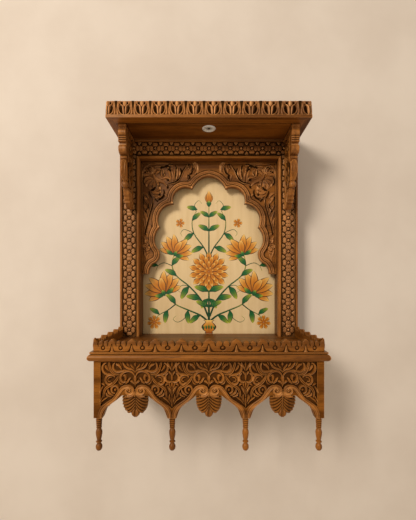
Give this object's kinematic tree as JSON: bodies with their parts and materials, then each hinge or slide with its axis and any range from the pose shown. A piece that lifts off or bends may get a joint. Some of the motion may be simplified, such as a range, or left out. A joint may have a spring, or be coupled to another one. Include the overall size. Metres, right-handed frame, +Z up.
{
  "type": "wall-hung carved wooden pooja mandir",
  "caption": "Wall-hung carved wooden shrine with a many-lobed arch over a painted back, a bracketed canopy with a downlight, and a railed shelf over an ogee apron with turned drops.",
  "frame": {"origin": "on the wall plane, in the middle of the mandir, level with the top of the shelf", "axes": "+X to the viewer's right, +Y into the wall, +Z up"},
  "size_m": [0.61, 0.333, 0.9444],
  "materials": {
    "carved_wood": "hand-carved hardwood, oiled satin, honey brown with darker hollows",
    "plain_board": "plain oiled board",
    "painted_board": "matt cream ground with a hand-painted flowering plant",
    "lamp_white": "white moulded ring",
    "lamp_lens": "frosted lens, lamp off"
  },
  "bodies": {
    "root": {"apron_front": "carved_wood", "arch_bead": "carved_wood", "arch_panel": "carved_wood", "back_panel": "plain_board", "canopy_front_fascia": "carved_wood", "canopy_soffit": "carved_wood", "canopy_top": "plain_board", "cornice_strip": "carved_wood", "downlight_lens": "lamp_lens", "downlight_ring": "lamp_white", "drop_1": "carved_wood", "drop_2": "carved_wood", "drop_3": "carved_wood", "drop_4": "carved_wood", "gallery_front": "carved_wood", "leaf_1": "carved_wood", "leaf_2": "carved_wood", "leaf_3": "carved_wood", "left_apron": "carved_wood", "left_bracket": "carved_wood", "left_canopy_fascia": "carved_wood", "left_gallery": "carved_wood", "left_lining": "carved_wood", "left_nosing": "carved_wood", "left_side_board": "carved_wood", "left_stile": "carved_wood", "nosing_front": "carved_wood", "picture_panel": "painted_board", "right_apron": "carved_wood", "right_bracket": "carved_wood", "right_canopy_fascia": "carved_wood", "right_gallery": "carved_wood", "right_lining": "carved_wood", "right_nosing": "carved_wood", "right_side_board": "carved_wood", "right_stile": "carved_wood", "shelf_board": "carved_wood", "side_drops_left": "carved_wood", "side_drops_right": "carved_wood", "side_leaves_left": "carved_wood", "side_leaves_right": "carved_wood", "top_lining": "carved_wood", "top_rail": "carved_wood"}
  },
  "joints": []
}
